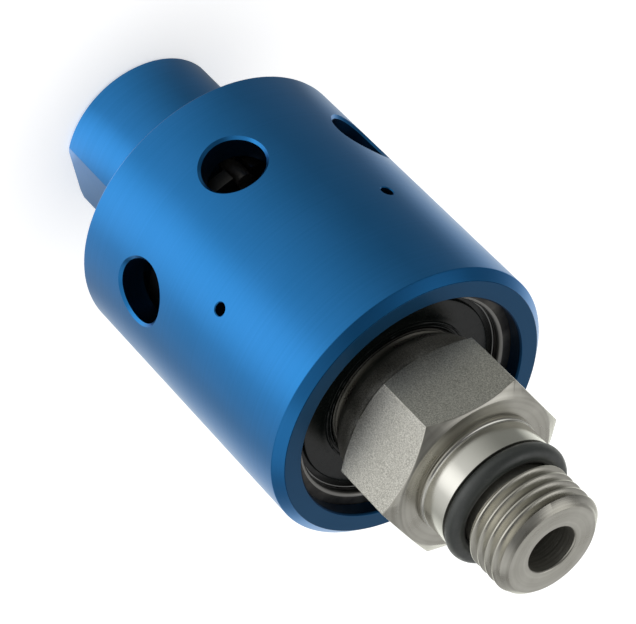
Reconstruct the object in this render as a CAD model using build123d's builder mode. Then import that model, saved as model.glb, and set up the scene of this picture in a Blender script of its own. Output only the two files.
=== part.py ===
from build123d import *
import os
from math import cos, radians, sin, sqrt, tan

# Single-passage hydraulic rotary union, in millimetres. The shaft axis is +Z.
# The origin is the centre of the inlet port's face, and the rotor's thread points up.
# A bearing housing and a screwed end cap stand still. The rotor turns in two sealed
# ball bearings, and a spring presses a floating seal against the rotor's seal ring.

os.makedirs("parts", exist_ok=True)

# Clearances
seat_clearance = 0.01  # bearing rings on their seats
running_clearance = 0.02  # between the two lapped seal faces
slide_clearance = 0.03  # floating seal in its bore
ring_clearance = 0.05  # retaining rings in their grooves
thread_clearance = 0.05  # cap plug in the housing
lip_clearance = 0.08  # bearing seals round the inner rings
ball_clearance = 0.05  # balls in their tracks
pin_clearance = 0.2  # drive pins in the carrier's slots

# Bearing housing
housing_wall = 4.0  # round the bearings
housing_front_chamfer = 1.3
housing_rear_chamfer = 0.3
mouth_chamfer = 0.65
chamber_length = 10.6
vent_diameter = 9.5
vent_count = 6
vent_edge_chamfer = 0.25
first_vent_angle = -90.0
weep_diameter = 1.8
weep_offset = 1.0  # in front of the rear bearing
weep_spread = 39.4  # each side of the first vent, and of the one opposite

# End cap
boss_diameter = 24.8
boss_length = 19.3
boss_flats = 22.5
boss_flat_length = 16.0
boss_chamfer = 0.5
port_diameter = 16.66  # G3/8 major diameter
port_depth = 12.0
port_chamfer = 0.9
port_floor_cone = 1.2
passage_diameter = 9.0
plug_wall = 3.0  # of the housing round the plug
plug_thread_depth = 0.8
plug_length = 7.5
plug_chamfer = 0.5
seal_bore_diameter = 18.0
seal_bore_depth = 11.4
spring_pocket_inner_diameter = 20.4
spring_pocket_outer_diameter = 26.4
spring_pocket_depth = 4.5
cap_clocking = -4.6  # where the cap's thread comes up tight

# Bearings, both 17 x 35 x 8
bearing_bore = 17.0
bearing_outer_diameter = 35.0
bearing_width = 8.0
bearing_depth = 3.5  # front face of the front bearing below the housing's face
spacer_length = 8.4
ball_diameter = 4.76
ball_count = 10
race_shoulder_gap = 3.4  # from the ball circle to each race's shoulder, on diameter
inner_step_depth = 0.9
outer_step_depth = 0.7
bearing_chamfer = 0.3
bearing_seal_thickness = 0.7
bearing_seal_recess = 0.2
seal_step = 1.2
lip_ridge_width = 0.3
lip_ridge_pitch = 0.55
lip_ridge_height = 0.14
cage_thickness = 1.5
cage_open_side = 1.9  # from the balls' plane
cage_closed_side = 2.9
shoulder_height = 2.0
shoulder_thickness = 1.0
outer_spacer_wall = 2.2
inner_spacer_wall = 2.1

# Retaining rings
bore_ring_thickness = 1.2
bore_ring_groove_depth = 1.0
bore_ring_width = 1.95
bore_ring_gap = 1.5
bore_ring_gap_angle = -75.0
shaft_ring_thickness = 1.0
shaft_ring_groove_depth = 0.4
shaft_ring_width = 2.35
shaft_ring_gap = 6.0

# Rotor
neck_diameter = 20.0
neck_length = 5.8
neck_land = 0.5
hex_across_flats = 24.0
hex_length = 11.5
hex_front_circle = 23.4
hex_chamfer_angle = 30.0
hex_corner_angle = -12.8  # how the rotor stands at rest
pilot_diameter = 18.0
pilot_length = 5.0
pilot_relief_depth = 0.25
pilot_relief_width = 0.5
gland_diameter = 14.7
gland_width = 2.1
rotor_o_ring_section = 2.0
thread_diameter = 16.0  # M16 x 1.5 major diameter
thread_length = 8.9
thread_chamfer = 0.95
rotor_bore = 7.4
rotor_bore_chamfer = 0.3
nose_diameter = 14.0
nose_length = 1.8

# Rotating seal ring
seal_ring_diameter = 22.4
seal_ring_bore = 9.6
seal_ring_front = 1.8
seal_ring_gap = 1.2  # to the retaining ring
seal_ring_chamfer = 0.4

# Floating seal
carrier_bore = 8.0
carrier_flange_diameter = 33.8
carrier_flange_thickness = 2.2
carrier_hub_diameter = 24.4
carrier_hub_height = 0.9
carrier_end_gap = 0.9
face_seat_diameter = 21.0
face_seat_floor = 1.0
face_bore = 10.0
face_nose_inner_diameter = 13.4
face_nose_outer_diameter = 18.4
face_nose_height = 0.7
carrier_groove_width = 3.0
carrier_groove_diameter = 14.9
carrier_groove_offset = 2.4
carrier_o_ring_section = 1.48
backup_ring_width = 1.2
spring_wire = 1.2
spring_turns = 3.0
spring_end_gap = 0.1
drive_pin_diameter = 2.5
drive_pin_circle = 31.0
drive_pin_depth = 5.2
drive_pin_overrun = 0.5
drive_pin_count = 2

# Diameters that follow from the sizes above
housing_diameter = bearing_outer_diameter + 2 * housing_wall
mouth_diameter = bearing_outer_diameter + 2 * mouth_chamfer
plug_diameter = housing_diameter - 2 * plug_wall
chamber_diameter = plug_diameter - 2 * plug_thread_depth
ball_circle_diameter = (bearing_bore + bearing_outer_diameter) / 2
inner_shoulder_diameter = ball_circle_diameter - race_shoulder_gap
outer_shoulder_diameter = ball_circle_diameter + race_shoulder_gap
inner_land_diameter = inner_shoulder_diameter - 2 * inner_step_depth
outer_step_diameter = outer_shoulder_diameter + 2 * outer_step_depth
shoulder_bore_diameter = bearing_outer_diameter - 2 * shoulder_height
outer_spacer_bore = bearing_outer_diameter - 2 * outer_spacer_wall
inner_spacer_diameter = bearing_bore + 2 * inner_spacer_wall
bore_ring_groove_diameter = bearing_outer_diameter + 2 * bore_ring_groove_depth
bore_ring_diameter = bore_ring_groove_diameter - 2 * ring_clearance
shaft_ring_groove_diameter = bearing_bore - 2 * shaft_ring_groove_depth
shaft_ring_bore = shaft_ring_groove_diameter + 2 * ring_clearance

# Heights that follow from the sizes above
housing_rear = boss_length
plug_front = housing_rear + plug_length
shoulder_base = plug_front + chamber_length
rear_bearing_base = shoulder_base + shoulder_thickness
rear_bearing_top = rear_bearing_base + bearing_width
front_bearing_base = rear_bearing_top + spacer_length
front_bearing_top = front_bearing_base + bearing_width
housing_front = front_bearing_top + bearing_depth
bore_groove_top = front_bearing_top + bore_ring_thickness + ring_clearance
weep_height = rear_bearing_top + weep_offset
hex_base = front_bearing_top + neck_length
hex_top = hex_base + hex_length
pilot_top = hex_top + pilot_length
thread_base = pilot_top + gland_width
rotor_top = thread_base + thread_length
shaft_ring_base = rear_bearing_base - shaft_ring_thickness
journal_base = shaft_ring_base - seal_ring_gap
nose_base = journal_base - nose_length
seal_plane = nose_base - seal_ring_front
carrier_hub_top = seal_plane - face_nose_height
carrier_flange_top = carrier_hub_top - carrier_hub_height
carrier_flange_base = carrier_flange_top - carrier_flange_thickness
face_seat_base = carrier_flange_base + face_seat_floor
seal_bore_floor = plug_front - seal_bore_depth
carrier_base = seal_bore_floor + carrier_end_gap
carrier_groove_base = carrier_base + carrier_groove_offset
spring_base = plug_front - spring_pocket_depth
stem_diameter = seal_bore_diameter - 2 * slide_clearance
vent_angles = [first_vent_angle + 360 / vent_count * i for i in range(vent_count)]
weep_angles = [first_vent_angle + side + turn * weep_spread for side in (0, 180) for turn in (-1, 1)]


def turned(*profile, mode=Mode.ADD):
    """Turn a closed outline of (radius, height) points about the shaft axis."""
    with BuildSketch(Plane.XZ) as section:
        with BuildLine():
            Polyline(*profile, close=True)
        make_face()
    revolve(section.sketch, axis=Axis.Z, mode=mode)


def turned_ring(inner, outer, base, top, corner=0.0):
    """Turn a plain ring between two diameters, with its outer corners chamfered."""
    outline = [(inner / 2, base), (outer / 2 - corner, base), (outer / 2, base + corner)]
    outline += [(outer / 2, top - corner), (outer / 2 - corner, top), (inner / 2, top)]
    turned(*(outline if corner else [outline[0], outline[2], outline[3], outline[5]]))


def radial_planes(angles, height):
    """Planes through the shaft axis that face outwards at these angles."""
    return [
        Plane(origin=(0, 0, height), x_dir=(0, 0, 1), z_dir=(cos(radians(a)), sin(radians(a)), 0))
        for a in angles
    ]


def drill_radially(diameter, angles, height):
    """Drill through the wall from the shaft axis outwards."""
    with BuildSketch(*radial_planes(angles, height)) as hole:
        Circle(diameter / 2)
    extrude(hole.sketch, amount=housing_diameter, mode=Mode.SUBTRACT)


def is_outside(edge):
    """True for an edge that lies beyond the seal chamber's wall."""
    middle_point = edge.position_at(0.5)
    return middle_point.X**2 + middle_point.Y**2 > (chamber_diameter / 2 + vent_edge_chamfer) ** 2


# Bearing housing: open at both ends, with a screwed rear, a vented seal chamber,
# a shoulder for the rear bearing, the bearing bore and its ring groove.
with BuildPart() as housing:
    turned(
        (plug_diameter / 2, housing_rear),
        (plug_diameter / 2, plug_front),
        (chamber_diameter / 2, plug_front),
        (chamber_diameter / 2, shoulder_base),
        (shoulder_bore_diameter / 2, shoulder_base),
        (shoulder_bore_diameter / 2, rear_bearing_base),
        (bearing_outer_diameter / 2, rear_bearing_base),
        (bearing_outer_diameter / 2, front_bearing_top),
        (bore_ring_groove_diameter / 2, front_bearing_top),
        (bore_ring_groove_diameter / 2, bore_groove_top),
        (bearing_outer_diameter / 2, bore_groove_top),
        (bearing_outer_diameter / 2, housing_front - mouth_chamfer),
        (mouth_diameter / 2, housing_front),
        (housing_diameter / 2 - housing_front_chamfer, housing_front),
        (housing_diameter / 2, housing_front - housing_front_chamfer),
        (housing_diameter / 2, housing_rear + housing_rear_chamfer),
        (housing_diameter / 2 - housing_rear_chamfer, housing_rear),
    )
    drill_radially(vent_diameter, vent_angles, seal_plane)
    vent_edges = housing.edges().filter_by(GeomType.BSPLINE).filter_by(is_outside)
    chamfer(vent_edges, vent_edge_chamfer)
    drill_radially(weep_diameter, weep_angles, weep_height)
housing.part.label = "housing"
export_step(housing.part, "parts/housing.step")

# End cap: a plug that screws into the housing's rear, and a boss with two spanner
# flats round the inlet port. The floating seal slides in its bore.
with BuildPart() as end_cap:
    turned(
        (port_diameter / 2 + port_chamfer, 0),
        (port_diameter / 2, port_chamfer),
        (port_diameter / 2, port_depth),
        (passage_diameter / 2, port_depth + port_floor_cone),
        (passage_diameter / 2, seal_bore_floor),
        (seal_bore_diameter / 2, seal_bore_floor),
        (seal_bore_diameter / 2, plug_front),
        (spring_pocket_inner_diameter / 2, plug_front),
        (spring_pocket_inner_diameter / 2, spring_base),
        (spring_pocket_outer_diameter / 2, spring_base),
        (spring_pocket_outer_diameter / 2, plug_front),
        (plug_diameter / 2 - thread_clearance - plug_chamfer, plug_front),
        (plug_diameter / 2 - thread_clearance, plug_front - plug_chamfer),
        (plug_diameter / 2 - thread_clearance, housing_rear),
        (boss_diameter / 2, housing_rear),
        (boss_diameter / 2, boss_chamfer),
        (boss_diameter / 2 - boss_chamfer, 0),
    )
    with BuildSketch(Plane.XY.rotated((0, 0, cap_clocking))) as beyond_flats:
        with GridLocations(boss_flats + boss_diameter, 0, 2, 1):
            Rectangle(boss_diameter, 2 * boss_diameter)
    extrude(beyond_flats.sketch, amount=boss_flat_length, mode=Mode.SUBTRACT)
    with BuildSketch(Plane.XY.offset(plug_front).rotated((0, 0, cap_clocking))) as pin_holes:
        with PolarLocations(drive_pin_circle / 2, drive_pin_count, start_angle=90):
            Circle(drive_pin_diameter / 2)
    extrude(pin_holes.sketch, amount=-drive_pin_depth, mode=Mode.SUBTRACT)
end_cap.part.label = "end_cap"
export_step(end_cap.part, "parts/end_cap.step")

# Both bearings: races, balls in a one-piece crown cage, and a rubber seal each side.
for name, base in (("rear", rear_bearing_base), ("front", front_bearing_base)):
    top = base + bearing_width
    middle = base + bearing_width / 2
    race_outer = bearing_outer_diameter / 2 - seat_clearance
    race_inner = bearing_bore / 2 + seat_clearance

    with BuildPart() as outer_ring:
        turned(
            (outer_step_diameter / 2, base),
            (race_outer - bearing_chamfer, base),
            (race_outer, base + bearing_chamfer),
            (race_outer, top - bearing_chamfer),
            (race_outer - bearing_chamfer, top),
            (outer_step_diameter / 2, top),
            (outer_step_diameter / 2, top - seal_step),
            (outer_shoulder_diameter / 2, top - seal_step),
            (outer_shoulder_diameter / 2, base + seal_step),
            (outer_step_diameter / 2, base + seal_step),
        )
        with BuildSketch(Plane.XZ) as track:
            with Locations((ball_circle_diameter / 2, middle)):
                Circle(ball_diameter / 2 + ball_clearance)
        revolve(track.sketch, axis=Axis.Z, mode=Mode.SUBTRACT)
    outer_ring.part.label = f"{name}_bearing_outer_ring"
    export_step(outer_ring.part, f"parts/{name}_bearing_outer_ring.step")

    with BuildPart() as inner_ring:
        turned(
            (race_inner, base + bearing_chamfer),
            (race_inner + bearing_chamfer, base),
            (inner_land_diameter / 2, base),
            (inner_land_diameter / 2, base + seal_step),
            (inner_shoulder_diameter / 2, base + seal_step),
            (inner_shoulder_diameter / 2, top - seal_step),
            (inner_land_diameter / 2, top - seal_step),
            (inner_land_diameter / 2, top),
            (race_inner + bearing_chamfer, top),
            (race_inner, top - bearing_chamfer),
        )
        with BuildSketch(Plane.XZ) as track:
            with Locations((ball_circle_diameter / 2, middle)):
                Circle(ball_diameter / 2 + ball_clearance)
        revolve(track.sketch, axis=Axis.Z, mode=Mode.SUBTRACT)
    inner_ring.part.label = f"{name}_bearing_inner_ring"
    export_step(inner_ring.part, f"parts/{name}_bearing_inner_ring.step")

    with BuildPart(Plane.XY.offset(middle)) as balls:
        with PolarLocations(ball_circle_diameter / 2, ball_count):
            Sphere(ball_diameter / 2)
    balls.part.label = f"{name}_bearing_balls"
    export_step(balls.part, f"parts/{name}_bearing_balls.step")

    with BuildPart(Plane.XY.offset(middle)) as cage:
        turned_ring(
            ball_circle_diameter - cage_thickness,
            ball_circle_diameter + cage_thickness,
            middle - cage_open_side,
            middle + cage_closed_side,
        )
        with PolarLocations(ball_circle_diameter / 2, ball_count):
            Sphere(ball_diameter / 2 + ball_clearance, mode=Mode.SUBTRACT)
    cage.part.label = f"{name}_bearing_cage"
    export_step(cage.part, f"parts/{name}_bearing_cage.step")

    for side, face, inward in (("rear", base, 1), ("front", top, -1)):
        seal_bore = inner_land_diameter / 2 + lip_clearance
        seal_face = face + inward * bearing_seal_recess
        seal_back = seal_face + inward * bearing_seal_thickness
        ridge_top = seal_face - inward * lip_ridge_height
        with BuildPart() as seal:
            turned(
                (seal_bore, seal_back),
                (seal_bore, ridge_top),
                (seal_bore + lip_ridge_width, ridge_top),
                (seal_bore + lip_ridge_width, seal_face),
                (seal_bore + lip_ridge_pitch, seal_face),
                (seal_bore + lip_ridge_pitch, ridge_top),
                (seal_bore + lip_ridge_pitch + lip_ridge_width, ridge_top),
                (seal_bore + lip_ridge_pitch + lip_ridge_width, seal_face),
                (outer_step_diameter / 2, seal_face),
                (outer_step_diameter / 2, seal_back),
            )
        seal.part.label = f"{name}_bearing_{side}_seal"
        export_step(seal.part, f"parts/{name}_bearing_{side}_seal.step")

# Spacers between the bearings. The outer one has the housing's weep holes.
with BuildPart() as outer_spacer:
    turned_ring(
        outer_spacer_bore,
        bearing_outer_diameter - 2 * seat_clearance,
        rear_bearing_top,
        front_bearing_base,
    )
    drill_radially(weep_diameter, weep_angles, weep_height)
outer_spacer.part.label = "outer_spacer"
export_step(outer_spacer.part, "parts/outer_spacer.step")

with BuildPart() as inner_spacer:
    turned_ring(
        bearing_bore + 2 * seat_clearance,
        inner_spacer_diameter,
        rear_bearing_top,
        front_bearing_base,
    )
inner_spacer.part.label = "inner_spacer"
export_step(inner_spacer.part, "parts/inner_spacer.step")

# Retaining ring in the housing's groove: holds the bearings in.
with BuildPart() as bore_ring:
    turned_ring(
        bore_ring_diameter - 2 * bore_ring_width,
        bore_ring_diameter,
        front_bearing_top,
        front_bearing_top + bore_ring_thickness,
    )
    with BuildSketch(Plane.XY.offset(front_bearing_top).rotated((0, 0, bore_ring_gap_angle))) as gap:
        Rectangle(housing_diameter, bore_ring_gap, align=(Align.MIN, Align.CENTER))
    extrude(gap.sketch, amount=bore_ring_thickness, mode=Mode.SUBTRACT)
bore_ring.part.label = "bore_retaining_ring"
export_step(bore_ring.part, "parts/bore_retaining_ring.step")

# Retaining ring on the shaft: holds the inner rings and spacer against the neck.
with BuildPart() as shaft_ring:
    turned_ring(
        shaft_ring_bore,
        shaft_ring_bore + 2 * shaft_ring_width,
        shaft_ring_base,
        rear_bearing_base,
    )
    with BuildSketch(Plane.XY.offset(shaft_ring_base)) as gap:
        Rectangle(housing_diameter, shaft_ring_gap, align=(Align.MIN, Align.CENTER))
    extrude(gap.sketch, amount=shaft_ring_thickness, mode=Mode.SUBTRACT)
shaft_ring.part.label = "shaft_retaining_ring"
export_step(shaft_ring.part, "parts/shaft_retaining_ring.step")

# Rotor: one turned piece from the seal ring's nose to the thread, with a hexagon
# whose corners are chamfered at both ends and which runs out into a rounded neck.
hex_corner_radius = hex_across_flats / sqrt(3)
chamfer_slope = tan(radians(hex_chamfer_angle))
rear_corner_height = hex_base + (hex_corner_radius - hex_across_flats / 2) * chamfer_slope
front_corner_height = hex_top - (hex_corner_radius - hex_front_circle / 2) * chamfer_slope
with BuildPart() as rotor:
    with BuildSketch(Plane.XY.offset(hex_base)) as hexagon:
        RegularPolygon(hex_across_flats / 2, 6, major_radius=False, rotation=hex_corner_angle)
    extrude(hexagon.sketch, amount=hex_length)
    turned(
        (0, hex_base),
        (hex_across_flats / 2, hex_base),
        (hex_corner_radius, rear_corner_height),
        (hex_corner_radius, front_corner_height),
        (hex_front_circle / 2, hex_top),
        (0, hex_top),
        mode=Mode.INTERSECT,
    )
    with BuildSketch(Plane.XZ) as shaft:
        with BuildLine():
            neck_curve = TangentArc(
                (hex_across_flats / 2, hex_base),
                (neck_diameter / 2, front_bearing_top + neck_land),
                tangent=(0, -1),
            )
            Polyline(
                neck_curve @ 1,
                (neck_diameter / 2, front_bearing_top),
                (bearing_bore / 2, front_bearing_top),
                (bearing_bore / 2, rear_bearing_base),
                (shaft_ring_groove_diameter / 2, rear_bearing_base),
                (shaft_ring_groove_diameter / 2, shaft_ring_base - ring_clearance),
                (bearing_bore / 2, shaft_ring_base - ring_clearance),
                (bearing_bore / 2, journal_base),
                (nose_diameter / 2, journal_base),
                (nose_diameter / 2, nose_base),
                (rotor_bore / 2, nose_base),
                (rotor_bore / 2, rotor_top - rotor_bore_chamfer),
                (rotor_bore / 2 + rotor_bore_chamfer, rotor_top),
                (thread_diameter / 2 - thread_chamfer, rotor_top),
                (thread_diameter / 2, rotor_top - thread_chamfer),
                (thread_diameter / 2, thread_base),
                (gland_diameter / 2, thread_base),
                (gland_diameter / 2, pilot_top),
                (pilot_diameter / 2, pilot_top),
                (pilot_diameter / 2, hex_top + pilot_relief_width),
                (pilot_diameter / 2 - pilot_relief_depth, hex_top + pilot_relief_width),
                (pilot_diameter / 2 - pilot_relief_depth, hex_top),
                (pilot_diameter / 2 - pilot_relief_depth, hex_base),
                neck_curve @ 0,
            )
        make_face()
    revolve(shaft.sketch, axis=Axis.Z)
    with BuildSketch(Plane.XY.offset(hex_base)) as bore:
        Circle(rotor_bore / 2)
    extrude(bore.sketch, amount=hex_length, mode=Mode.SUBTRACT)
rotor.part.label = "rotor"
export_step(rotor.part, "parts/rotor.step")

# O-ring in the gland between the pilot and the thread.
with BuildPart() as rotor_o_ring:
    with BuildSketch(Plane.XZ) as section:
        with Locations(((gland_diameter + rotor_o_ring_section) / 2 + ring_clearance, pilot_top + gland_width / 2)):
            Circle(rotor_o_ring_section / 2)
    revolve(section.sketch, axis=Axis.Z)
rotor_o_ring.part.label = "rotor_o_ring"
export_step(rotor_o_ring.part, "parts/rotor_o_ring.step")

# Rotating seal ring: shrunk on the rotor's nose, with its lapped face to the rear.
with BuildPart() as rotating_seal_ring:
    turned(
        (seal_ring_bore / 2, seal_plane + running_clearance),
        (seal_ring_diameter / 2 - seal_ring_chamfer, seal_plane + running_clearance),
        (seal_ring_diameter / 2, seal_plane + running_clearance + seal_ring_chamfer),
        (seal_ring_diameter / 2, journal_base),
        (nose_diameter / 2 + seat_clearance, journal_base),
        (nose_diameter / 2 + seat_clearance, nose_base),
        (seal_ring_bore / 2, nose_base),
    )
rotating_seal_ring.part.label = "rotating_seal_ring"
export_step(rotating_seal_ring.part, "parts/rotating_seal_ring.step")

# Floating seal carrier: its stem slides in the cap, and its flange takes the spring
# and the two drive pins that keep it from turning.
with BuildPart() as seal_carrier:
    turned(
        (carrier_bore / 2, carrier_base),
        (stem_diameter / 2, carrier_base),
        (stem_diameter / 2, carrier_groove_base),
        (carrier_groove_diameter / 2, carrier_groove_base),
        (carrier_groove_diameter / 2, carrier_groove_base + carrier_groove_width),
        (stem_diameter / 2, carrier_groove_base + carrier_groove_width),
        (stem_diameter / 2, carrier_flange_base),
        (carrier_flange_diameter / 2, carrier_flange_base),
        (carrier_flange_diameter / 2, carrier_flange_top),
        (carrier_hub_diameter / 2, carrier_flange_top),
        (carrier_hub_diameter / 2, carrier_hub_top),
        (face_seat_diameter / 2, carrier_hub_top),
        (face_seat_diameter / 2, face_seat_base),
        (carrier_bore / 2, face_seat_base),
    )
    with BuildSketch(Plane.XY.offset(carrier_flange_base).rotated((0, 0, cap_clocking))) as pin_slots:
        with PolarLocations(drive_pin_circle / 2, drive_pin_count, start_angle=90):
            Circle(drive_pin_diameter / 2 + pin_clearance)
            Rectangle(
                carrier_flange_diameter / 2,
                drive_pin_diameter + 2 * pin_clearance,
                align=(Align.MIN, Align.CENTER),
            )
    extrude(pin_slots.sketch, amount=carrier_flange_thickness, mode=Mode.SUBTRACT)
seal_carrier.part.label = "floating_seal_carrier"
export_step(seal_carrier.part, "parts/floating_seal_carrier.step")

# Carbon seal face in the carrier, with a raised nose that meets the rotating ring.
with BuildPart() as seal_face_ring:
    turned(
        (face_bore / 2, face_seat_base),
        (face_seat_diameter / 2 - seat_clearance, face_seat_base),
        (face_seat_diameter / 2 - seat_clearance, carrier_hub_top),
        (face_nose_outer_diameter / 2, carrier_hub_top),
        (face_nose_outer_diameter / 2, seal_plane),
        (face_nose_inner_diameter / 2, seal_plane),
        (face_nose_inner_diameter / 2, carrier_hub_top),
        (face_bore / 2, carrier_hub_top),
    )
seal_face_ring.part.label = "floating_seal_face"
export_step(seal_face_ring.part, "parts/floating_seal_face.step")

# Balance seal in the carrier's groove: an O-ring, and a backup ring behind it.
with BuildPart() as carrier_o_ring:
    with BuildSketch(Plane.XZ) as section:
        with Locations(
            (
                (carrier_groove_diameter + carrier_o_ring_section) / 2 + slide_clearance / 2,
                carrier_groove_base + (carrier_o_ring_section + ring_clearance) / 2,
            )
        ):
            Circle(carrier_o_ring_section / 2)
    revolve(section.sketch, axis=Axis.Z)
carrier_o_ring.part.label = "carrier_o_ring"
export_step(carrier_o_ring.part, "parts/carrier_o_ring.step")

with BuildPart() as backup_ring:
    turned_ring(
        carrier_groove_diameter + 2 * seat_clearance,
        stem_diameter,
        carrier_groove_base + carrier_groove_width - backup_ring_width,
        carrier_groove_base + carrier_groove_width - ring_clearance,
    )
backup_ring.part.label = "carrier_backup_ring"
export_step(backup_ring.part, "parts/carrier_backup_ring.step")

# Seal spring: a compression spring round the stem, from its pocket to the flange.
spring_circle = (spring_pocket_inner_diameter + spring_pocket_outer_diameter) / 2
spring_start = spring_base + spring_wire / 2 + spring_end_gap
spring_height = carrier_flange_base - spring_start - spring_wire / 2 - spring_end_gap
with BuildPart() as seal_spring:
    with BuildLine(Plane.XY.offset(spring_start)) as coil:
        Helix(pitch=spring_height / spring_turns, height=spring_height, radius=spring_circle / 2)
    with BuildSketch(Plane(origin=coil.line @ 0, z_dir=coil.line % 0)) as wire:
        Circle(spring_wire / 2)
    sweep(wire.sketch, path=coil.line)
seal_spring.part.label = "seal_spring"
export_step(seal_spring.part, "parts/seal_spring.step")

# Drive pins: pressed in the cap, and loose in the carrier's slots.
with BuildPart() as drive_pins:
    with BuildSketch(Plane.XY.offset(plug_front - drive_pin_depth).rotated((0, 0, cap_clocking))) as ends:
        with PolarLocations(drive_pin_circle / 2, drive_pin_count, start_angle=90):
            Circle(drive_pin_diameter / 2 - seat_clearance)
    extrude(ends.sketch, amount=carrier_flange_top + drive_pin_overrun - plug_front + drive_pin_depth)
drive_pins.part.label = "drive_pins"
export_step(drive_pins.part, "parts/drive_pins.step")
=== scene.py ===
import bpy
from math import cos, pi, radians, sin, sqrt, tan
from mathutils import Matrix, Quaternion, Vector


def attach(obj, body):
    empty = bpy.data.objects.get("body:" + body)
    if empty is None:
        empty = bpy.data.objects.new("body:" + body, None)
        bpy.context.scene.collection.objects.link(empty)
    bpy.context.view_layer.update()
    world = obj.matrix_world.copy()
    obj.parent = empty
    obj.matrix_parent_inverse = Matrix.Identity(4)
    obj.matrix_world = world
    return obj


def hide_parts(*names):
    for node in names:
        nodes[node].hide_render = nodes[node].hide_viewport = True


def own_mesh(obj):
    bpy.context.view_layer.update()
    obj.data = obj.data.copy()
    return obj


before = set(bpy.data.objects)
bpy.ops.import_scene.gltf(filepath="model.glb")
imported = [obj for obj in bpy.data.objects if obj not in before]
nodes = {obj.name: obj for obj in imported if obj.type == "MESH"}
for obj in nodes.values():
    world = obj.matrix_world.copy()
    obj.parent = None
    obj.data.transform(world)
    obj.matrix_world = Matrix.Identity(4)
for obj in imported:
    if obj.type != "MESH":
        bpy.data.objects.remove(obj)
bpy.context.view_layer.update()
bpy.ops.object.select_all(action="DESELECT")

# ---------------------------------------------------------------- Bearing housing
# A thick sleeve turned from aluminium bar and anodised blue. Six vents are drilled
# round its seal chamber and four weep holes between the bearings. Its rear screws
# onto the end cap, and its front takes the bearings and their retaining ring.
MM = 0.001
housing_sides = 288
housing_rear = 19.3
housing_front = 66.3
housing_radius = 21.5
plug_front = 26.8
plug_bore_radius = 18.5
chamber_radius = 17.7
chamber_front = 37.4
shoulder_radius = 15.5
rear_bearing_base = 38.4
bearing_bore_radius = 17.5
bearing_top = 62.8
ring_groove_radius = 18.5
ring_groove_top = 64.05
mouth_chamfer = 0.25
front_chamfer = 1.3
rear_chamfer = 0.3
broken_edge = 0.08
vent_radius = 4.45
vent_edge = 0.4
vent_height = 32.6
vent_angles = [-90 + 60 * i for i in range(6)]
weep_radius = 0.9
weep_edge = 0.12
weep_height = 47.4
weep_spread = 39.4
weep_angles = [angle + side * weep_spread for angle in (-90, 90) for side in (-1, 1)]


def arc(centre_radius, centre_height, bend, start, end, steps=4):
    """Points of a rounded corner on an outline, from one angle to another."""
    angles = [radians(start + (end - start) * i / steps) for i in range(steps + 1)]
    return [(centre_radius + bend * cos(a), centre_height + bend * sin(a)) for a in angles]


def face_outwards():
    """Turn every face of the mesh being edited outwards, and leave edit mode."""
    bpy.ops.mesh.select_all(action="SELECT")
    bpy.ops.mesh.normals_make_consistent(inside=False)
    bpy.ops.object.mode_set(mode="OBJECT")


def turn(name, outline, sides):
    """Turn a closed outline of (radius, height) points in millimetres about the shaft axis."""
    bpy.ops.object.select_all(action="DESELECT")
    radius, height = outline[0]
    off_the_cutters = 0.2 / sides
    bpy.ops.mesh.primitive_circle_add(
        vertices=sides, radius=radius * MM, location=(0, 0, height * MM), rotation=(0, 0, off_the_cutters),
    )
    piece = bpy.context.object
    piece.name = name
    bpy.ops.object.transform_apply(location=True, rotation=True)
    bpy.ops.object.mode_set(mode="EDIT")
    for next_radius, next_height in outline[1:]:
        rise = (0, 0, (next_height - height) * MM)
        bpy.ops.mesh.extrude_region_move(TRANSFORM_OT_translate={"value": rise})
        growth = next_radius / radius
        bpy.ops.transform.resize(value=(growth, growth, 1), center_override=(0, 0, next_height * MM))
        radius, height = next_radius, next_height
    bpy.ops.mesh.select_all(action="DESELECT")
    bpy.ops.mesh.select_non_manifold()
    bpy.ops.mesh.bridge_edge_loops()
    face_outwards()
    return piece


def pick(piece):
    """Select one piece alone, for the operators that follow."""
    bpy.ops.object.select_all(action="DESELECT")
    bpy.context.view_layer.objects.active = piece
    piece.select_set(True)


def apply_modifier(piece, kind, **settings):
    modifier = piece.modifiers.new(kind.lower(), kind)
    for setting, value in settings.items():
        setattr(modifier, setting, value)
    pick(piece)
    bpy.ops.object.modifier_apply(modifier=modifier.name)


def break_edges(piece, width, sharper_than=25, clamp=True):
    """Break the sharp edges with a small round, as a deburring tool leaves them."""
    apply_modifier(
        piece, "BEVEL", limit_method="ANGLE", angle_limit=radians(sharper_than), width=width * MM,
        segments=2, use_clamp_overlap=clamp,
    )


def cut(piece, tool):
    """Cut a piece with a tool solid, which is then thrown away."""
    apply_modifier(piece, "BOOLEAN", object=tool, operation="DIFFERENCE", solver="EXACT")
    bpy.data.objects.remove(tool)


def joined(solids):
    bpy.ops.object.select_all(action="DESELECT")
    for solid in solids:
        solid.select_set(True)
    bpy.context.view_layer.objects.active = solids[0]
    bpy.ops.object.join()
    return solids[0]


def smooth(piece, angle=25):
    """Shade round faces smooth and keep flat ones flat up to their broken edges."""
    pick(piece)
    bpy.ops.object.shade_smooth_by_angle(angle=radians(angle))
    apply_modifier(piece, "WEIGHTED_NORMAL", mode="FACE_AREA", weight=100, keep_sharp=True)


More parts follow.
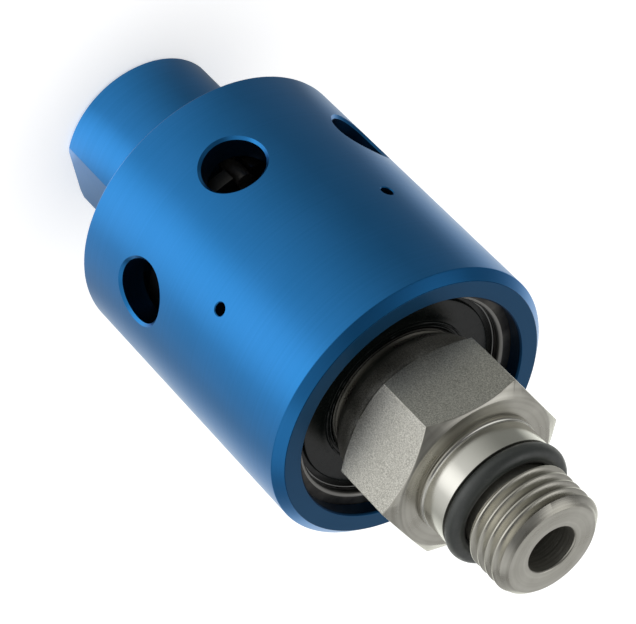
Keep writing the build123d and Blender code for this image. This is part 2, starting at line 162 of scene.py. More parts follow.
def countersunk_drill(radius, edge, angle, height, sides=96):
    """A drill from the shaft axis outwards, flared where it leaves the round wall."""
    rings = [(radius, edge), (radius + 2 * edge, -edge)]
    bpy.ops.object.select_all(action="DESELECT")
    bpy.ops.mesh.primitive_circle_add(vertices=sides, radius=radius * MM, fill_type="NGON")
    drill = bpy.context.object
    bpy.ops.object.mode_set(mode="EDIT")
    for _ in range(len(rings) + 1):
        bpy.ops.mesh.extrude_region_move(TRANSFORM_OT_translate={"value": (0, 0, MM)})
    face_outwards()
    corners = drill.data.vertices
    for corner in corners[:sides]:
        corner.co.z = 0.5 * housing_radius * MM
    for ring, (ring_radius, below_wall) in enumerate(rings, 1):
        for corner in corners[ring * sides:(ring + 1) * sides]:
            across = Vector((corner.co.x, corner.co.y)).normalized() * ring_radius
            wall = sqrt((housing_radius - below_wall) ** 2 - across.y**2)
            corner.co = Vector((across.x, across.y, wall)) * MM
    for corner, below in zip(corners[-sides:], corners[-2 * sides:-sides]):
        corner.co = Vector((below.co.x, below.co.y, 1.2 * housing_radius * MM))
    drill.rotation_euler = (0, pi / 2, 0)
    bpy.ops.object.transform_apply(rotation=True)
    drill.rotation_euler = (0, 0, radians(angle))
    drill.location = (0, 0, height * MM)
    bpy.ops.object.transform_apply(location=True, rotation=True)
    return drill


housing = turn(
    "bearing_housing",
    [
        (plug_bore_radius, housing_rear),
        (plug_bore_radius, plug_front),
        (chamber_radius, plug_front),
        (chamber_radius, chamber_front),
        (shoulder_radius, chamber_front),
        (shoulder_radius, rear_bearing_base),
        (bearing_bore_radius, rear_bearing_base),
        (bearing_bore_radius, bearing_top),
        (ring_groove_radius, bearing_top),
        (ring_groove_radius, ring_groove_top),
        (bearing_bore_radius, ring_groove_top),
        (bearing_bore_radius, housing_front - mouth_chamfer),
        (bearing_bore_radius + mouth_chamfer, housing_front),
        (housing_radius - front_chamfer, housing_front),
        (housing_radius, housing_front - front_chamfer),
        (housing_radius, housing_rear + rear_chamfer),
        (housing_radius - rear_chamfer, housing_rear),
    ],
    housing_sides,
)
break_edges(housing, broken_edge)
drills = [countersunk_drill(vent_radius, vent_edge, angle, vent_height) for angle in vent_angles]
drills += [countersunk_drill(weep_radius, weep_edge, angle, weep_height, sides=40) for angle in weep_angles]
cut(housing, joined(drills))
smooth(housing)
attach(housing, "stator")
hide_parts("housing")


class Recipe:
    """Shader nodes of one finish or light, added and joined one after another."""

    def __init__(self, tree):
        self.tree = tree

    def join(self, value, socket):
        """Give a socket a plain value, or link another node's result to it."""
        if isinstance(value, bpy.types.NodeSocket):
            self.tree.links.new(value, socket)
        else:
            socket.default_value = value

    def add(self, kind, joins=None, **settings):
        made = self.tree.nodes.new(kind)
        for setting, value in settings.items():
            setattr(made, setting, value)
        for socket, value in (joins or {}).items():
            self.join(value, made.inputs[socket])
        return made

    def reckon(self, operation, first, second=0.0):
        return self.add("ShaderNodeMath", {0: first, 1: second}, operation=operation).outputs["Value"]

    def grade(self, value, low, high, lowest, highest, **settings):
        """Stretch the range from low to high over the range from lowest to highest."""
        span = {"Value": value, "From Min": low, "From Max": high, "To Min": lowest, "To Max": highest}
        return self.add("ShaderNodeMapRange", span, **settings).outputs["Result"]

    def toward(self, way, direction):
        """How closely a way points in one direction: 1 where it is the same."""
        made = self.add("ShaderNodeVectorMath", {0: way, 1: direction}, operation="DOT_PRODUCT")
        return made.outputs["Value"]

    def tint(self, amount, *colours):
        """Mix two colours, or the results of two other mixes."""
        made = self.add("ShaderNodeMix", {"Factor": amount}, data_type="RGBA")
        for socket, colour in zip((6, 7), colours):
            self.join((*colour, 1) if isinstance(colour, tuple) else colour, made.inputs[socket])
        return made.outputs[2]


class Finish(Recipe):
    """A material that starts with plain values, which patterns on the surface then vary."""

    def __init__(self, name, colour, metallic, roughness):
        self.material = bpy.data.materials.new(name)
        self.material.use_nodes = True
        super().__init__(self.material.node_tree)
        self.shader = self.tree.nodes["Principled BSDF"]
        self.drive("Base Color", (*colour, 1))
        self.drive("Metallic", metallic)
        self.drive("Roughness", roughness)
        self.place = self.add("ShaderNodeTexCoord").outputs["Object"]

    def drive(self, socket, value):
        self.join(value, self.shader.inputs[socket])

    def mottle(self, place, scale, detail):
        made = self.add("ShaderNodeTexNoise", {"Vector": place, "Scale": scale, "Detail": detail})
        return made.outputs["Fac"]

    def tool_marks(self, finest):
        """Fine circular marks of a lathe tool, on faces and round walls alike."""
        parts = self.add("ShaderNodeSeparateXYZ", {"Vector": self.place}).outputs
        flat = self.add("ShaderNodeCombineXYZ", {"X": parts["X"], "Y": parts["Y"]})
        reach = self.add("ShaderNodeVectorMath", {0: flat.outputs["Vector"]}, operation="LENGTH")
        spots = self.add("ShaderNodeCombineXYZ", {"X": parts["Z"], "Y": reach.outputs["Value"]})
        return self.mottle(spots.outputs["Vector"], finest, 3.0)

    def relief(self, pattern, strength, depth):
        """Let the light show a pattern as low relief, with its depth in millimetres."""
        bump = self.add("ShaderNodeBump", {"Height": pattern, "Strength": strength, "Distance": depth * MM})
        self.drive("Normal", bump.outputs["Normal"])


def satin_blue_anodising():
    """Dyed anodising on turned metal: bright round the bar; its end faces get a darker copy of the blue as
    painted shade.
    """
    blue = Finish("satin_blue_anodising", (0.03, 0.2, 0.56), 1.0, 0.32)
    marks = blue.tool_marks(2600.0)
    cloud = blue.mottle(blue.place, 90.0, 4.0)
    dye = blue.grade(blue.reckon("MULTIPLY", marks, cloud), 0.12, 0.4, 0.0, 1.0)
    turned_blue = blue.tint(dye, (0.012, 0.198, 0.525), (0.018, 0.22, 0.58))
    # Painted shade: faces across the axis take a darker blue than the round wall.
    painted_shade_faced_blue = blue.tint(marks, (0.005, 0.086, 0.205), (0.008, 0.098, 0.235))
    normal = blue.add("ShaderNodeTexCoord").outputs["Normal"]
    upright = blue.add("ShaderNodeSeparateXYZ", {"Vector": normal}).outputs["Z"]
    faced = blue.reckon("ABSOLUTE", upright)
    blue.drive("Base Color", blue.tint(blue.grade(faced, 0.85, 0.98, 0.0, 1.0), turned_blue, painted_shade_faced_blue))
    blue.drive("Coat Weight", 0.25)
    blue.drive("Coat Roughness", 0.3)
    blue.drive("Coat IOR", 1.6)
    satin = blue.grade(cloud, 0.3, 0.7, 0.3, 0.36)
    coarser = blue.grade(faced, 0.8, 1.0, 0.0, 0.2)
    blue.drive("Roughness", blue.reckon("ADD", satin, coarser))
    blue.relief(blue.reckon("ADD", marks, blue.mottle(blue.place, 5000.0, 2.0)), 0.04, 0.01)
    return blue.material


def blue_anodising_painted_shade_in_holes():
    """The same anodising where a drill or a boring bar has cut, coloured much darker as painted shade in the
    holes.
    """
    bored = Finish("blue_anodising_painted_shade_in_holes", (0.006, 0.05, 0.13), 1.0, 0.4)
    chatter = bored.tool_marks(1800.0)
    # Painted shade: this blue is far darker than the outside, and the chatter marks vary it.
    bored.drive("Base Color", bored.tint(chatter, (0.004, 0.032, 0.085), (0.008, 0.06, 0.15)))
    bored.relief(chatter, 0.3, 0.02)
    return bored.material


blue_finish = satin_blue_anodising()
housing.data.materials.append(blue_finish)
housing.data.materials.append(blue_anodising_painted_shade_in_holes())
bored_from = (housing_rear + 0.2) * MM
bored_to = (housing_front - 0.02) * MM
outer_skin = (housing_radius - 0.35) * MM
# Inward-facing faces inside the housing take the darker blue: painted shade.
for face in housing.data.polygons:
    inside = bored_from < face.center.z < bored_to and face.center.xy.length < outer_skin
    outwards = face.center.xy.normalized().dot(face.normal.xy)
    if inside and outwards < 0.6:
        face.material_index = 1

# ---------------------------------------------------------------- End cap
# Turned from the same bar and anodised with the housing. A threaded plug closes the
# housing's rear, and the boss round the G3/8 inlet port has two milled spanner flats.
cap_clocking = -4.6
boss_radius = 12.4
boss_chamfer = 0.5
half_across_flats = 11.25
flat_end = 16.0
port_radius = 8.33
port_minor_radius = 7.475
port_pitch = 1.337
port_chamfer = 0.9
port_chamfer_depth = 1.75
port_thread_end = 10.8
port_depth = 12.0
port_runout = 0.1
port_floor_cone = 1.2
inlet_radius = 4.5
seal_bore_radius = 9.0
seal_bore_floor = 15.4
seal_bore_lead_in = 0.4
pocket_inner_radius = 10.2
pocket_outer_radius = 13.2
pocket_floor = 22.3
plug_radius = 18.45
plug_chamfer = 0.5
pin_radius = 1.25
pin_circle = 15.5
pin_hole_depth = 5.2
pin_hole_middle = 24.25


def milled_block(centre, size, turned_to):
    """A block of metal that a mill takes away, turned about the shaft axis."""
    bpy.ops.object.select_all(action="DESELECT")
    bpy.ops.mesh.primitive_cube_add(size=1, location=Vector(centre) * MM)
    block = bpy.context.object
    block.scale = Vector(size) * MM
    bpy.ops.object.transform_apply(location=True, scale=True)
    block.rotation_euler = (0, 0, radians(turned_to))
    bpy.ops.object.transform_apply(rotation=True)
    return block


def bar(sides, radius, length, centre, turned_to=0):
    """A bar along the shaft axis, to drill or mill with."""
    bpy.ops.object.select_all(action="DESELECT")
    bpy.ops.mesh.primitive_cylinder_add(
        vertices=sides, radius=radius * MM, depth=length * MM, location=Vector(centre) * MM,
        rotation=(0, 0, radians(turned_to)),
    )
    bpy.ops.object.transform_apply(location=True, rotation=True)
    return bpy.context.object


def helical_groove(name, ridge, pitch, turns, base, steps=96):
    """A wire wound round the axis, with the section of the thread's groove."""
    bpy.ops.object.select_all(action="DESELECT")
    bpy.ops.mesh.primitive_circle_add(vertices=len(ridge), radius=MM, fill_type="NGON")
    groove = bpy.context.object
    groove.name = name
    for corner, (radius, height) in zip(groove.data.vertices, ridge):
        corner.co = Vector((radius, 0, base + height)) * MM
    apply_modifier(
        groove, "SCREW", angle=2 * pi, screw_offset=pitch * MM, iterations=turns, steps=steps,
        render_steps=steps, axis="Z", use_normal_calculate=False, use_merge_vertices=False,
    )
    bpy.ops.object.mode_set(mode="EDIT")
    bpy.ops.mesh.select_all(action="SELECT")
    bpy.ops.mesh.fill_holes(sides=0)
    face_outwards()
    return groove


end_cap = turn(
    "end_cap_boss",
    [
        (port_radius + port_chamfer, 0),
        (port_minor_radius, port_chamfer_depth),
        (port_minor_radius, port_thread_end),
        (port_radius + port_runout, port_thread_end),
        (port_radius + port_runout, port_depth),
        (inlet_radius, port_depth + port_floor_cone),
        (inlet_radius, seal_bore_floor),
        (seal_bore_radius, seal_bore_floor),
        (seal_bore_radius, plug_front - plug_chamfer),
        (seal_bore_radius + seal_bore_lead_in, plug_front),
        (pocket_inner_radius, plug_front),
        (pocket_inner_radius, pocket_floor),
        (pocket_outer_radius, pocket_floor),
        (pocket_outer_radius, plug_front),
        (plug_radius - plug_chamfer, plug_front),
        (plug_radius, plug_front - plug_chamfer),
        (plug_radius, housing_rear),
        (boss_radius, housing_rear),
        (boss_radius, boss_chamfer),
        (boss_radius - boss_chamfer, 0),
    ],
    192,
)
mill_width, mill_reach, mill_length = 8, 40, 20
mill_place = (half_across_flats + mill_width / 2, 0, flat_end - mill_length / 2)
for turned_to in (0, 180):
    cut(end_cap, milled_block(mill_place, (mill_width, mill_reach, mill_length), cap_clocking + turned_to))
for turned_to in (90, 270):
    around = radians(cap_clocking + turned_to)
    pin_place = (pin_circle * cos(around), pin_circle * sin(around), pin_hole_middle)
    cut(end_cap, bar(sides=32, radius=pin_radius, length=pin_hole_depth, centre=pin_place))
break_edges(end_cap, broken_edge)
ridge_foot = port_minor_radius - 0.1
ridge_half_width = 0.61
root_shoulder = port_radius - 0.05
root_half_width = 0.14
port_ridge = [
    (ridge_foot, -ridge_half_width),
    (ridge_foot, ridge_half_width),
    (root_shoulder, root_half_width),
    (port_radius, 0.0),
    (root_shoulder, -root_half_width),
]
cut(end_cap, helical_groove("port_thread_tap", port_ridge, port_pitch, turns=9, base=-1.0))
smooth(end_cap)
end_cap.data.materials.append(blue_finish)
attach(end_cap, "stator")
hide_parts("end_cap")

# ---------------------------------------------------------------- Bearings
# Two sealed 17 x 35 x 8 ball bearings: ground rings of chrome steel, polished balls in
# a moulded nylon cage, and a nitrile seal each side. The front one shows in the mouth.
bearing_base = 54.8
ball_circle = 13.0
ball_height = (bearing_base + bearing_top) / 2
race_radius = 2.43
race_wrap = 45.6
race_shoulder = 14.7
race_outer_radius = 17.49
front_round = 0.7
rear_round = 0.3
seal_seat = 15.4
seal_seat_depth = 1.2
seal_seat_corner = 0.2
seal_thickness = 0.9
race_sides = 192


def ground_steel(name, colour, roughness, marks_scale):
    steel = Finish(name, colour, 1.0, roughness)
    marks = steel.tool_marks(marks_scale)
    smear = steel.mottle(steel.place, 140.0, 3.0)
    steel.drive("Base Color", steel.tint(smear, tuple(0.86 * part for part in colour), colour))
    steel.drive("Roughness", steel.grade(marks, 0.3, 0.7, 0.85 * roughness, 1.2 * roughness))
    steel.relief(marks, 0.15, 0.01)
    return steel.material


def moulded(name, colour, roughness, gloss, speck_colour):
    """Moulded rubber or plastic: slight waviness, and dust on it here and there."""
    skin = Finish(name, colour, 0.0, roughness)
    skin.drive("Specular IOR Level", gloss)
    waves = skin.mottle(skin.place, 900.0, 4.0)
    dust = skin.mottle(skin.place, 2600.0, 5.0)
    skin.drive("Base Color", skin.tint(skin.grade(dust, 0.62, 0.78, 0.0, 1.0), colour, speck_colour))
    skin.drive("Roughness", skin.grade(waves, 0.3, 0.7, 0.85 * roughness, 1.2 * roughness))
    skin.relief(waves, 0.1, 0.03)
    return skin.material


def refinish(finish, *names):
    """Give solids of the frame their finish."""
    for name in names:
        nodes[name].data.materials[0] = finish


ring_steel = ground_steel("ground_bearing_steel", (0.2, 0.2, 0.195), 0.2, 4200.0)
ball_steel = ground_steel("polished_balls", (0.62, 0.62, 0.61), 0.06, 900.0)
seal_rubber = moulded("bearing_seal_rubber", (0.002, 0.0035, 0.003), 0.24, 0.35, (0.012, 0.014, 0.012))
cage_nylon = moulded("cage_nylon", (0.14, 0.09, 0.045), 0.5, 0.5, (0.2, 0.15, 0.09))

outer_ring = turn(
    "front_bearing_outer_race",
    [
        (seal_seat, bearing_top - seal_seat_depth),
        *arc(seal_seat + seal_seat_corner, bearing_top - seal_seat_corner, seal_seat_corner, 180, 90),
        *arc(race_outer_radius - front_round, bearing_top - front_round, front_round, 90, 0, 8),
        *arc(race_outer_radius - rear_round, bearing_base + rear_round, rear_round, 0, -90),
        (seal_seat, bearing_base),
        (seal_seat, bearing_base + seal_seat_depth),
        (race_shoulder, bearing_base + seal_seat_depth),
        *arc(ball_circle, ball_height, race_radius, -race_wrap, race_wrap, 12),
        (race_shoulder, bearing_top - seal_seat_depth),
    ],
    race_sides,
)
smooth(outer_ring)
outer_ring.data.materials.append(ring_steel)
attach(outer_ring, "stator")
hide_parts("front_bearing_outer_ring")

seal_bore = 10.48
seal_back = bearing_top - seal_thickness
lip_bend = 0.12
front_seal = turn(
    "front_bearing_lip_seal",
    [
        (seal_bore, seal_back),
        (seal_bore, 62.62),
        *arc(10.62, 62.64, lip_bend, 170, 10),
        (10.78, 62.5),
        (10.98, 62.5),
        *arc(11.14, 62.62, lip_bend, 170, 10),
        (11.32, 62.46),
        (11.9, 62.44),
        (12.3, 62.54),
        (14.3, 62.58),
        *arc(14.56, 62.38, 0.2, 90, 0),
        (14.8, 62.05),
        (seal_seat, 62.05),
        (seal_seat, seal_back),
    ],
    race_sides,
)
smooth(front_seal, 40)
front_seal.data.materials.append(seal_rubber)
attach(front_seal, "stator")
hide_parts("front_bearing_front_seal")
refinish(ring_steel, "front_bearing_inner_ring", "rear_bearing_inner_ring", "rear_bearing_outer_ring")
refinish(ball_steel, "front_bearing_balls", "rear_bearing_balls")
refinish(cage_nylon, "front_bearing_cage", "rear_bearing_cage")
refinish(seal_rubber, "front_bearing_rear_seal", "rear_bearing_front_seal", "rear_bearing_rear_seal")

# ---------------------------------------------------------------- Spacers
# Two plain sleeves of mild steel, parted off on the lathe. They keep the bearings apart,
# and the outer one is drilled in line with the housing's weep holes.
spacer_steel = ground_steel("turned_spacer_steel", (0.42, 0.42, 0.41), 0.3, 2400.0)
refinish(spacer_steel, "outer_spacer", "inner_spacer")

# ---------------------------------------------------------------- Retaining rings
# Blanked from spring steel and blackened with phosphate, with the inner edge rubbed bright.
# One springs into the housing's groove over the front bearing, and one sits on the shaft
# behind the rear bearing.
ring_gap_angle = -75.0
ring_gap = 1.5
ring_inner_radius = 15.7
ring_outer_radius = 18.45
ring_top = 64.0
ring_edge = 0.15
rubbed_edge = 0.6


def phosphated_spring_steel():
    """Grey-black phosphate crystals, worn a little paler where they have been rubbed."""
    steel = Finish("phosphated_spring_steel", (0.06, 0.05, 0.042), 0.85, 0.42)
    crystals = steel.mottle(steel.place, 3200.0, 5.0)
    rubbed = steel.grade(steel.mottle(steel.place, 260.0, 3.0), 0.4, 0.7, 0.0, 1.0)
    steel.drive("Base Color", steel.tint(rubbed, (0.05, 0.048, 0.045), (0.15, 0.142, 0.13)))
    steel.drive("Roughness", steel.grade(crystals, 0.3, 0.7, 0.3, 0.44))
    steel.relief(crystals, 0.25, 0.02)
    return steel.material


bore_ring = turn(
    "mouth_retaining_ring",
    [
        *arc(ring_inner_radius + ring_edge, bearing_top + ring_edge, ring_edge, 270, 180),
        *arc(ring_inner_radius + rubbed_edge, ring_top - rubbed_edge, rubbed_edge, 180, 90, 8),
        *arc(ring_outer_radius - ring_edge, ring_top - ring_edge, ring_edge, 90, 0),
        *arc(ring_outer_radius - ring_edge, bearing_top + ring_edge, ring_edge, 0, -90),
    ],
    192,
)
ring_middle = ((ring_inner_radius + ring_outer_radius) / 2, 0, (bearing_top + ring_top) / 2)
cut(bore_ring, milled_block(ring_middle, (5, ring_gap, 2), ring_gap_angle))
smooth(bore_ring)
spring_steel = phosphated_spring_steel()
bore_ring.data.materials.append(spring_steel)
bore_ring.data.materials.append(ground_steel("rubbed_inner_edge", (0.3, 0.295, 0.28), 0.3, 3000.0))
for face in bore_ring.data.polygons:
    if face.center.xy.length < (ring_inner_radius + rubbed_edge - 0.02) * MM and face.normal.z > 0.1:
        face.material_index = 1
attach(bore_ring, "stator")
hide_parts("bore_retaining_ring")
refinish(spring_steel, "shaft_retaining_ring")

# ---------------------------------------------------------------- Rotor
# One piece of stainless bar, turned from end to end. The 24 mm hexagon is milled with its
# corners chamfered at both ends, the pilot is ground with a bead and an undercut at its
# root, and the M16 x 1.5 thread is cut up to the O-ring's gland.
rotor_sides = 240
nose_radius = 7.0
nose_base = 34.4
journal_radius = 8.5
journal_base = 36.2
shaft_groove_radius = 8.1
shaft_groove_base = 37.35
neck_radius = 10.0
neck_land_top = 63.3
hex_base = 68.6
hex_top = 80.1
flat_radius = 12.0
corner_radius = 2 * flat_radius / sqrt(3)
blank_radius = corner_radius + 0.2
hex_face_radius = 11.7
hex_corner_angle = -12.8
chamfer_slope = tan(radians(30))
neck_run = hex_base - neck_land_top
neck_bend = ((flat_radius - neck_radius) ** 2 + neck_run**2) / 2 / (flat_radius - neck_radius)
bead_circle = 8.95
bead_radius = 0.28
bead_rise = 0.5
undercut_circle = 9.121
undercut_radius = 0.22
undercut_rise = 0.97
pilot_radius = 9.0
pilot_edge = 0.118
pilot_rise = 1.209
pilot_top = 85.1
gland_radius = 6.75
thread_base = 88.55
thread_radius = 8.0
thread_pitch = 1.5
thread_depth = 0.92
rotor_top = 96.1
tip_chamfer_width = 1.2
tip_chamfer_height = 1.0
passage_radius = 3.6
passage_edge = 0.2


def neck_curve(steps=14):
    """The neck's round: straight up where it meets the flats, leaning out at its foot."""
    points = []
    for step in range(steps + 1):
        lower = neck_run * (1 - step / steps)
        fall = neck_bend - sqrt(neck_bend**2 - lower**2)
        points.append((flat_radius - fall, hex_base - lower))
    return points


rotor = turn(
    "rotor_shaft_and_hexagon",
    [
        (journal_radius, bearing_top),
        (neck_radius, bearing_top),
        *neck_curve(),
        (blank_radius, hex_base + (blank_radius - flat_radius) * chamfer_slope),
        (blank_radius, hex_top - (blank_radius - hex_face_radius) * chamfer_slope),
        (hex_face_radius, hex_top),
        (pilot_radius + 0.1, hex_top),
        *arc(bead_circle, hex_top + bead_rise, bead_radius, -50, 70, 6),
        *arc(undercut_circle, hex_top + undercut_rise, undercut_radius, 250, 135, 5),
        *arc(pilot_radius - pilot_edge, hex_top + pilot_rise, pilot_edge, -45, 0, 2),
        (pilot_radius, pilot_top),
        (gland_radius, pilot_top),
        (gland_radius, thread_base),
        (thread_radius - 0.9, thread_base),
        (thread_radius, thread_base + 0.45),
        (thread_radius, rotor_top - tip_chamfer_height),
        (thread_radius - tip_chamfer_width, rotor_top),
        (passage_radius + passage_edge, rotor_top),
        (passage_radius, rotor_top - passage_edge),
        (passage_radius, nose_base),
        (nose_radius, nose_base),
        (nose_radius, journal_base),
        (journal_radius, journal_base),
        (journal_radius, shaft_groove_base),
        (shaft_groove_radius, shaft_groove_base),
        (shaft_groove_radius, rear_bearing_base),
        (journal_radius, rear_bearing_base),
    ],
    rotor_sides,
)
hex_centre = (0, 0, (hex_top + hex_base) / 2)
round_the_hexagon = bar(sides=64, radius=20, length=14, centre=hex_centre)
hexagon = bar(sides=6, radius=corner_radius, length=30, centre=hex_centre, turned_to=hex_corner_angle - 30)
cut(round_the_hexagon, hexagon)
cut(rotor, round_the_hexagon)
pick(rotor)
bpy.ops.object.mode_set(mode="EDIT")
bpy.ops.mesh.select_all(action="SELECT")
bpy.ops.mesh.remove_doubles(threshold=0.02 * MM)
bpy.ops.object.mode_set(mode="OBJECT")
break_edges(rotor, 0.09, sharper_than=28, clamp=False)
groove_half = [(0.1, 0.74), (-0.05, 0.6), (-0.2, 0.49), (-0.55, 0.3), (-0.78, 0.16), (-thread_depth, 0.0)]
thread_groove = [(thread_radius + depth, half) for depth, half in groove_half]
thread_groove += [(radius, -half) for radius, half in reversed(thread_groove[:-1])]
cut(rotor, helical_groove("rotor_thread_die", thread_groove, thread_pitch, turns=7, base=87.5))
smooth(rotor, 28)


def turned_stainless():
    """Bright turning with fine and coarse marks, smeared where hands have been on it."""
    steel = Finish("turned_stainless", (0.56, 0.54, 0.5), 1.0, 0.3)
    coarse_marks = steel.tool_marks(1500.0)
    smear = steel.mottle(steel.place, 220.0, 4.0)
    streaks = steel.grade(steel.reckon("ADD", smear, coarse_marks), 0.75, 1.25, 0.0, 1.0)
    steel.drive("Base Color", steel.tint(streaks, (0.46, 0.445, 0.39), (0.66, 0.645, 0.58)))
    steel.drive("Roughness", steel.grade(smear, 0.3, 0.7, 0.24, 0.36))
    steel.relief(steel.reckon("ADD", steel.tool_marks(5200.0), coarse_marks), 0.35, 0.02)
    return steel.material


def milled_stainless_flats():
    """Flats that a milling cutter has left with a coarse, glittering grain."""
    steel = Finish("milled_stainless_flats", (0.56, 0.54, 0.49), 1.0, 0.4)
    grains = steel.mottle(steel.place, 6200.0, 3.0)
    bright_grains = steel.grade(grains, 0.35, 0.65, 0.0, 1.0)
    steel.drive("Base Color", steel.tint(bright_grains, (0.41, 0.4, 0.355), (0.76, 0.745, 0.68)))
    steel.drive("Roughness", steel.grade(steel.mottle(steel.place, 300.0, 4.0), 0.3, 0.7, 0.34, 0.46))
    steel.relief(grains, 0.65, 0.06)
    return steel.material


def drilled_stainless_passage():
    """The passage's wall, with the rings that a long drill leaves."""
    steel = Finish("drilled_stainless_passage", (0.5, 0.49, 0.44), 1.0, 0.42)
    rings = steel.tool_marks(2200.0)
    steel.drive("Base Color", steel.tint(rings, (0.36, 0.35, 0.31), (0.66, 0.65, 0.6)))
    steel.relief(rings, 1.0, 0.08)
    return steel.material


rotor.data.materials.append(turned_stainless())
rotor.data.materials.append(milled_stainless_flats())
rotor.data.materials.append(ground_steel("ground_stainless_pilot", (0.74, 0.73, 0.67), 0.17, 5200.0))
rotor.data.materials.append(drilled_stainless_passage())
milled_from = hex_base - 3.2
neck_limit = 10.5
for face in rotor.data.polygons:
    face_height = face.center.z / MM
    face_radius = face.center.xy.length / MM
    if milled_from < face_height < hex_top and face_radius > neck_limit and face.normal.z < 0.05:
        face.material_index = 1
    elif hex_top < face_height < pilot_top and pilot_radius - 0.2 < face_radius < pilot_radius + 0.1:
        face.material_index = 2
    elif face_radius < passage_radius + 0.01:
        face.material_index = 3
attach(rotor, "rotor_shaft")
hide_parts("rotor")

# ---------------------------------------------------------------- Rotor O-ring
# Moulded nitrile, 2.6 mm thick. It is rolled over the thread into the gland, and its
# outside keeps the fine parting line of the mould.
o_ring_circle = 8.08
o_ring_height = 86.45
o_ring_section = 1.32
parting_line = 0.03
nitrile = moulded("nitrile_o_ring", (0.024, 0.029, 0.026), 0.42, 0.9, (0.05, 0.055, 0.05))
rotor_o_ring = turn(
    "rotor_gland_o_ring",
    [
        *arc(o_ring_circle, o_ring_height, o_ring_section, 4, 356, 40),
        (o_ring_circle + o_ring_section, o_ring_height - parting_line),
        (o_ring_circle + o_ring_section, o_ring_height + parting_line),
    ],
    160,
)
smooth(rotor_o_ring, 60)
rotor_o_ring.data.materials.append(nitrile)
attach(rotor_o_ring, "rotor_shaft")
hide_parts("rotor_o_ring")

# ---------------------------------------------------------------- Seal
# A lapped silicon carbide ring turns with the rotor. A carbon face in a steel carrier is
# pressed on it by the coil spring, and two hardened pins keep the carrier from turning.
carbide = moulded("lapped_silicon_carbide", (0.018, 0.018, 0.02), 0.18, 1.0, (0.04, 0.04, 0.045))
carbon = moulded("carbon_graphite", (0.012, 0.012, 0.013), 0.35, 0.5, (0.03, 0.03, 0.03))
white_ptfe = moulded("white_ptfe", (0.75, 0.75, 0.72), 0.45, 0.5, (0.6, 0.6, 0.57))
# The carrier's steel is coloured near black: painted shade for the seal chamber seen through the vents.
carrier_steel = ground_steel("carrier_steel_darkened_as_painted_shade", (0.1, 0.097, 0.09), 0.36, 3600.0)
refinish(carbide, "rotating_seal_ring")
refinish(carbon, "floating_seal_face")
refinish(white_ptfe, "carrier_backup_ring")
refinish(nitrile, "carrier_o_ring")
refinish(carrier_steel, "floating_seal_carrier")
# The drive pins take this dark phosphated finish partly as painted shade in the seal chamber.
refinish(spring_steel, "drive_pins", "seal_spring")
spring = nodes["seal_spring"]
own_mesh(spring)

# ---------------------------------------------------------------- Studio
# A plain white table under the part, a soft light beside it, and a pale room. Metal shows
# the table's painted glow: a painted pool of light, bright to one side and dim to the other.
part_middle = 45
bright_side = -37.0
back_of_room = 105.0
high_window = 178.0


def pointing(azimuth, elevation=0.0):
    """The direction with this azimuth and elevation in degrees."""
    level = cos(radians(elevation))
    return (cos(radians(azimuth)) * level, sin(radians(azimuth)) * level, sin(radians(elevation)))


def white_table_top_with_painted_glow():
    """Matt white, lit evenly for the eye; for reflections it glows with a painted pool of light, a painted
    streak and a painted bright back.
    """
    top = Finish("white_table_top_with_painted_glow", (0.8, 0.8, 0.8), 0.0, 0.9)
    top.drive("Specular IOR Level", 0.0)
    bearing = top.add("ShaderNodeVectorMath", {0: top.place}, operation="NORMALIZE").outputs["Vector"]
    toward_light = top.toward(bearing, pointing(bright_side))
    toward_back = top.toward(bearing, pointing(back_of_room))
    # Painted light: a glowing pool, streak and back that only reflections see.
    painted_pool = top.reckon("POWER", top.grade(toward_light, -0.25, 1.0, 0.0, 1.0), 1.5)
    streak = top.grade(toward_light, 0.9, 1.0, 0.0, 0.55)
    back = top.grade(toward_back, 0.25, 0.9, 0.0, 1.0)
    painted_shine = top.reckon("MULTIPLY", painted_pool, 0.65)
    for share in (streak, back, 0.25):
        painted_shine = top.reckon("ADD", painted_shine, share)
    warmth = top.tint(painted_pool, (0.97, 0.99, 0.94), (1.0, 1.0, 1.0))
    painted_reflection_glow = top.add("ShaderNodeEmission", {"Color": warmth, "Strength": painted_shine}).outputs[0]
    matt = top.shader.outputs["BSDF"]
    plain_view = top.add("ShaderNodeEmission", {"Strength": 0.5}).outputs[0]
    lit_view = top.add("ShaderNodeAddShader", {0: matt, 1: plain_view}).outputs[0]
    ray = top.add("ShaderNodeLightPath").outputs
    for_camera = top.add("ShaderNodeMixShader", {"Fac": ray["Is Camera Ray"], 1: matt, 2: lit_view})
    for_metal = top.add(
        "ShaderNodeMixShader", {"Fac": ray["Is Glossy Ray"], 1: for_camera.outputs[0], 2: painted_reflection_glow},
    )
    top.join(for_metal.outputs[0], top.tree.nodes["Material Output"].inputs["Surface"])
    return top.material


bpy.ops.object.select_all(action="DESELECT")
bpy.ops.mesh.primitive_plane_add(size=8, location=(0, 0, -0.1 * MM))
table = bpy.context.object
table.name = "white_table"
bpy.ops.object.transform_apply(location=True)
table.data.materials.append(white_table_top_with_painted_glow())


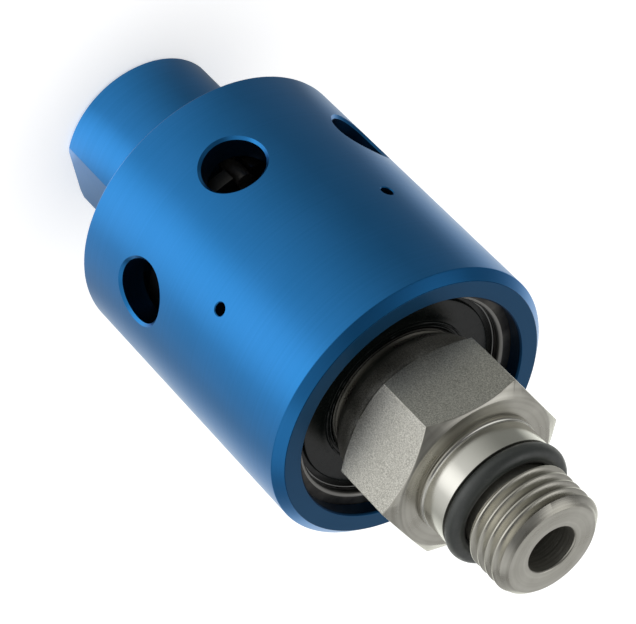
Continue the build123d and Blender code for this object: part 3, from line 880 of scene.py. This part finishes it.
def pale_room():
    """An even white room, which metal sees as a dim one with three soft bright areas."""
    room = bpy.data.worlds.new("pale_room")
    room.use_nodes = True
    air = Recipe(room.node_tree)
    around = air.add("ShaderNodeTexCoord").outputs["Generated"]
    glow = 0.12
    for azimuth, elevation, lowest, strength in (
        (back_of_room, 25, 0.45, 0.43),
        (bright_side, 12, 0.6, 0.55),
        (high_window, 58, 0.87, 0.9),
    ):
        nearness = air.toward(around, pointing(azimuth, elevation))
        area = air.grade(nearness, lowest, 1.0, 0.0, strength, interpolation_type="SMOOTHSTEP")
        glow = air.reckon("ADD", area, glow)
    ray = air.add("ShaderNodeLightPath").outputs
    seen = air.add("ShaderNodeMix", {0: ray["Is Camera Ray"], 2: 0.85, 3: 1.0}, data_type="FLOAT").outputs[0]
    light = air.add("ShaderNodeMix", {0: ray["Is Glossy Ray"], 2: seen, 3: glow}, data_type="FLOAT")
    background = room.node_tree.nodes["Background"]
    air.join((1, 1, 1, 1), background.inputs["Color"])
    air.join(light.outputs[0], background.inputs["Strength"])
    return room


bpy.context.scene.world = pale_room()


def softbox(name, azimuth, elevation, distance, size, watts):
    """A round soft lamp aimed at the middle of the part."""
    lamp_data = bpy.data.lights.new(name, "AREA")
    lamp_data.shape = "DISK"
    lamp_data.size = size
    lamp_data.energy = watts
    lamp = bpy.data.objects.new(name, lamp_data)
    bpy.context.scene.collection.objects.link(lamp)
    way = Vector(pointing(azimuth, elevation))
    lamp.location = way * distance + Vector((0, 0, part_middle * MM))
    lamp.rotation_euler = way.to_track_quat("Z", "Y").to_euler()
    lamp.visible_camera = False


softbox("side_softbox", azimuth=20, elevation=38, distance=1.2, size=1.0, watts=1.2)

camera_data = bpy.data.cameras.new("catalogue_camera")
camera_data.lens = 189.81
camera_data.sensor_width = 36.0
camera = bpy.data.objects.new("catalogue_camera", camera_data)
bpy.context.scene.collection.objects.link(camera)
camera.location = Vector((94.92, -351.55, 308.50)) * MM
aim = Vector((0.06, 0.01, 44.49)) * MM
roll = Quaternion((0, 0, 1), radians(135.54))
camera.rotation_euler = ((aim - camera.location).to_track_quat("-Z", "Y") @ roll).to_euler()
bpy.context.scene.camera = camera
bpy.context.scene.view_settings.view_transform = "Standard"
